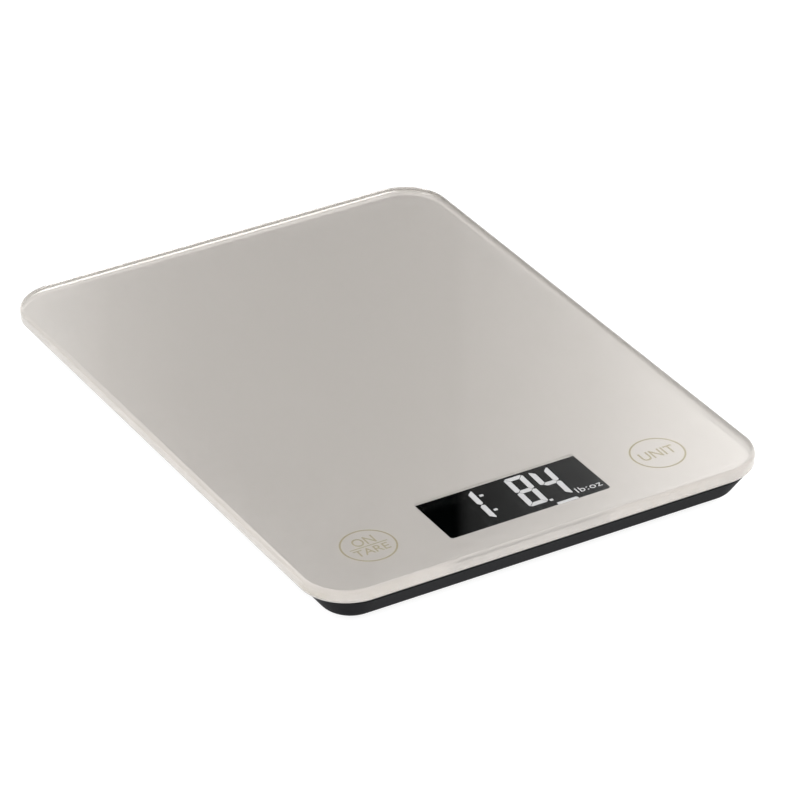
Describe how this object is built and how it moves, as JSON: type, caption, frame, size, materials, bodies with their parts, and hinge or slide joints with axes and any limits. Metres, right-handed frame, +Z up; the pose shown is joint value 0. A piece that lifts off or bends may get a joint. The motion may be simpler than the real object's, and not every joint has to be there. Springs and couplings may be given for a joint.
{
  "type": "kitchen scale",
  "caption": "Slim glass kitchen scale: rounded platform over a shallow tray on load-cell feet, with a digital display, touch keys and an underside battery door.",
  "frame": {"origin": "middle of the footprint on the surface the scale stands on", "axes": "+Z up, +Y from the display end to the far end, +X to the right as the display is read"},
  "size_m": [0.15, 0.2028, 0.0147],
  "materials": {
    "glass": "tempered glass, printed light silver-grey on its back, polished edge",
    "tape": "double-sided acrylic tape",
    "tray": "moulded ABS, fine matte",
    "holder": "moulded ABS",
    "board": "glass-fibre board, green solder resist",
    "display": "liquid crystal panel, dark with light segments",
    "light_guide": "white light guide",
    "foam": "closed-cell foam",
    "contact": "nickel-plated spring steel",
    "resin": "black epoxy",
    "foil": "metal film on polyester",
    "screw": "zinc-plated steel",
    "steel": "stamped alloy steel, nickel plated",
    "gauge": "foil gauge under a clear coating",
    "pad": "soft rubber",
    "coin": null,
    "red_wire": "PVC insulation",
    "black_wire": "PVC insulation",
    "white_wire": "PVC insulation"
  },
  "bodies": {
    "scale_body": {"glass_platform": "glass", "adhesive_bead": "tape", "base_tray": "tray", "main_board": "board", "lcd_panel": "display", "lcd_backlight": "light_guide", "display_gasket": "foam", "lcd_pins": "contact", "controller_chip": "resin", "board_components": "resin", "touch_electrode_tare": "foil", "touch_electrode_unit": "foil", "touch_springs": "contact", "battery_contact_negative": "contact", "battery_contact_positive": "contact", "cell_screws": "screw", "board_screws": "screw", "battery_lead_positive": "red_wire", "battery_lead_negative": "black_wire", "load_cell_front_left": "steel", "cell_holder_front_left": "holder", "holder_tape_front_left": "tape", "strain_gauge_front_left": "gauge", "sensor_wires_front_left": "white_wire", "load_cell_front_right": "steel", "cell_holder_front_right": "holder", "holder_tape_front_right": "tape", "strain_gauge_front_right": "gauge", "sensor_wires_front_right": "white_wire", "load_cell_rear_left": "steel", "cell_holder_rear_left": "holder", "holder_tape_rear_left": "tape", "strain_gauge_rear_left": "gauge", "sensor_wires_rear_left": "white_wire", "load_cell_rear_right": "steel", "cell_holder_rear_right": "holder", "holder_tape_rear_right": "tape", "strain_gauge_rear_right": "gauge", "sensor_wires_rear_right": "white_wire", "foot_front_left": "tray", "foot_pad_front_left": "pad", "foot_front_right": "tray", "foot_pad_front_right": "pad", "foot_rear_left": "tray", "foot_pad_rear_left": "pad", "foot_rear_right": "tray", "foot_pad_rear_right": "pad"},
    "battery_door": {"battery_door": "tray"},
    "coin_cell": {"coin_cell": "coin"}
  },
  "joints": [
    {"name": "battery_door_hinge", "type": "hinge", "parent": "scale_body", "child": "battery_door", "pos_m": [0, -0.044, 0.0024], "axis": [-1, 0, 0], "range_deg": [0, 90]},
    {"name": "coin_cell_slide", "type": "slide", "parent": "scale_body", "child": "coin_cell", "axis": [0, 0, -1], "range_m": [0, 0.0054]}
  ],
  "couplings": [
    {"joint": "coin_cell_slide", "follows": "battery_door_hinge", "m_per_rad": 0.0034377}
  ]
}
